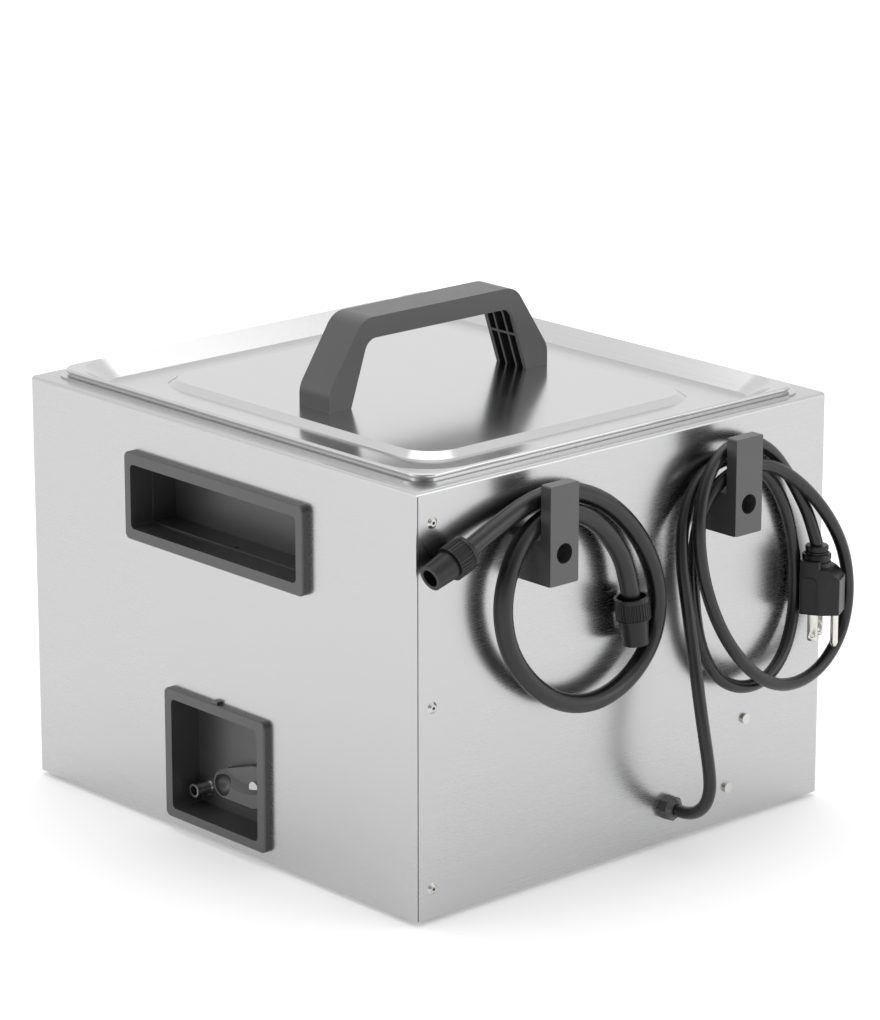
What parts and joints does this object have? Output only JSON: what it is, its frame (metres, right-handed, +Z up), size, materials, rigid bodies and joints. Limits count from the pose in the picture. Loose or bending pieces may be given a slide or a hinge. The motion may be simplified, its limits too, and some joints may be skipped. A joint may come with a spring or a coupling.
{
  "type": "heated water bath",
  "caption": "Counter-top heated water bath: brushed steel casing, drained tank, lift-off lid with arch handle, side grips, drain lever, rear hooks holding hose and mains cord.",
  "frame": {"origin": "on the surface the feet stand on, under the middle of the casing", "axes": "+Z up; -Y towards the control console; +Y towards the hooks; +X towards the drain recess"},
  "size_m": [0.3427, 0.4217, 0.311],
  "materials": {
    "stainless": "fine straight brushing",
    "lid_steel": "satin",
    "tank_steel": "satin",
    "zinc_steel": "zinc plated",
    "black_moulding": "fine texture",
    "hook_plastic": "satin",
    "cord_rubber": "satin",
    "plug_plastic": "satin",
    "plated_brass": "nickel plated",
    "panel_film": "matte",
    "key_plastic": "matte",
    "window_glass": "gloss",
    "foot_rubber": "matte",
    "board_green": "solder mask",
    "component_black": "matte",
    "heater_silicone": "matte",
    "foam": "matte",
    "white_plastic": "matte"
  },
  "bodies": {
    "housing": {"casing": "stainless", "base_plate": "zinc_steel", "feet": "foot_rubber", "base_screws": "zinc_steel", "tank": "tank_steel", "tank_drain": "tank_steel", "drain_nut": "plated_brass", "heater_mat": "heater_silicone", "heater_plate": "zinc_steel", "thermal_cutout": "component_black", "temperature_probe": "tank_steel", "probe_clip": "white_plastic", "tank_insulation": "foam", "side_grip_right": "black_moulding", "side_grip_left": "black_moulding", "drain_recess": "black_moulding", "valve_body": "plated_brass", "drain_elbow": "plated_brass", "outlet_pipe": "tank_steel", "control_panel": "panel_film", "console_shell": "black_moulding", "console_screws": "zinc_steel", "display_window": "window_glass", "display_module": "component_black", "key_switches": "component_black", "power_switch": "component_black", "control_board": "board_green", "board_posts": "plated_brass", "transformer": "component_black", "terminal_block": "white_plastic", "relay_bracket": "zinc_steel", "heater_relay": "component_black", "rear_screws": "zinc_steel", "seam_rivets": "zinc_steel", "hose_hook": "hook_plastic", "cord_hook": "hook_plastic", "hook_screws": "zinc_steel", "hook_nuts": "zinc_steel", "cord_gland": "hook_plastic", "gland_nut": "hook_plastic", "mains_cord": "cord_rubber", "plug_body": "plug_plastic", "plug_blades": "plated_brass", "plug_ground_pin": "plated_brass", "drain_hose": "cord_rubber", "hose_coupling_far": "plug_plastic", "hose_coupling_near": "plug_plastic"},
    "lid_assembly": {"lid": "lid_steel", "lid_handle": "black_moulding", "handle_screws": "zinc_steel"},
    "valve_lever": {"drain_lever": "black_moulding", "valve_spindle": "tank_steel", "lever_screw": "zinc_steel"},
    "down_key": {"key_down": "key_plastic"},
    "set_key": {"key_set": "key_plastic"},
    "up_key": {"key_up": "key_plastic"},
    "switch_rocker": {"power_rocker": "key_plastic"}
  },
  "joints": [
    {"name": "lid_lift", "type": "slide", "parent": "housing", "child": "lid_assembly", "axis": [0, 0, 1], "range_m": [0, 0.15]},
    {"name": "drain_turn", "type": "hinge", "parent": "housing", "child": "valve_lever", "pos_m": [0.1475, 0.022, 0.041], "axis": [-1, 0, 0], "range_deg": [0, 90]},
    {"name": "down_press", "type": "slide", "parent": "housing", "child": "down_key", "axis": [0, 1, 0], "range_m": [0, 0.001], "stiffness_N_per_m": 250},
    {"name": "set_press", "type": "slide", "parent": "housing", "child": "set_key", "axis": [0, 1, 0], "range_m": [0, 0.001], "stiffness_N_per_m": 250},
    {"name": "up_press", "type": "slide", "parent": "housing", "child": "up_key", "axis": [0, 1, 0], "range_m": [0, 0.001], "stiffness_N_per_m": 250},
    {"name": "power_tilt", "type": "hinge", "parent": "housing", "child": "switch_rocker", "pos_m": [0.082, -0.1945, 0.058], "axis": [-1, 0, 0], "range_deg": [0, 16]}
  ]
}
